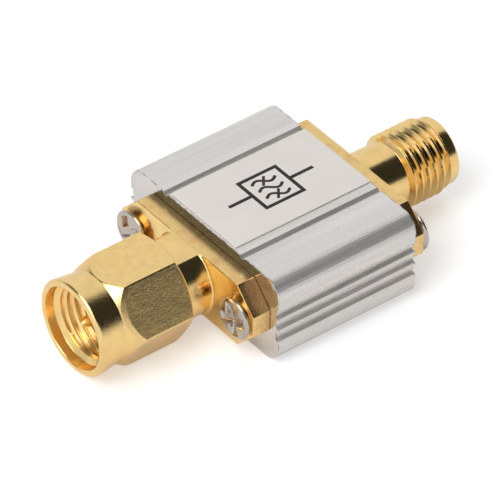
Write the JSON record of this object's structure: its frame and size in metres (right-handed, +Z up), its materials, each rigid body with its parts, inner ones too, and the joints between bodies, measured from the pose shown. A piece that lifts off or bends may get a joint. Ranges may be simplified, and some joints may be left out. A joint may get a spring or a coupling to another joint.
{
  "type": "surface acoustic wave filter",
  "caption": "Inline coaxial surface acoustic wave filter: aluminium sleeve with a label, gold-coloured end flanges, a plug with a spinning hex coupling nut and a threaded jack.",
  "frame": {"origin": "centre of the bounding box at its bottom, on the surface that the part stands on, below the connector axis", "axes": "+X from the plug with its coupling nut to the threaded jack along the connector axis, +Z up through the labelled face, Y across the sleeve"},
  "size_m": [0.0358, 0.0186, 0.0081],
  "materials": {
    "aluminium": "sawn and mill finished",
    "gold_plate": "gold-coloured plating on brass",
    "nickel_plate": "bright nickel plating",
    "label_film": "satin film",
    "fluoropolymer": "waxy white",
    "spring_bronze": "bright rolled strip",
    "laminate": "solder-masked laminate",
    "ceramic": "fired, matt",
    "winding": "coated winding",
    "solder": "bright solder"
  },
  "bodies": {
    "filter_body": {"housing": "aluminium", "label": "label_film", "plug_flange": "gold_plate", "retaining_ring": "spring_bronze", "plug_dielectric": "fluoropolymer", "centre_pin": "gold_plate", "jack_flange": "gold_plate", "jack_dielectric": "fluoropolymer", "socket_contact": "gold_plate", "plug_screw_right": "nickel_plate", "plug_screw_left": "nickel_plate", "jack_screw_right": "nickel_plate", "jack_screw_left": "nickel_plate", "circuit_board": "laminate", "filter_package": "ceramic", "filter_lid": "gold_plate", "input_inductor": "winding", "output_inductor": "winding", "input_capacitor": "ceramic", "output_capacitor": "ceramic", "plug_solder": "solder", "jack_solder": "solder"},
    "nut": {"coupling_nut": "gold_plate"}
  },
  "joints": [
    {"name": "coupling_nut_spin", "type": "hinge", "parent": "filter_body", "child": "nut", "pos_m": [-0.0135, 0, 0.00405], "axis": [-1, 0, 0], "continuous": true}
  ]
}
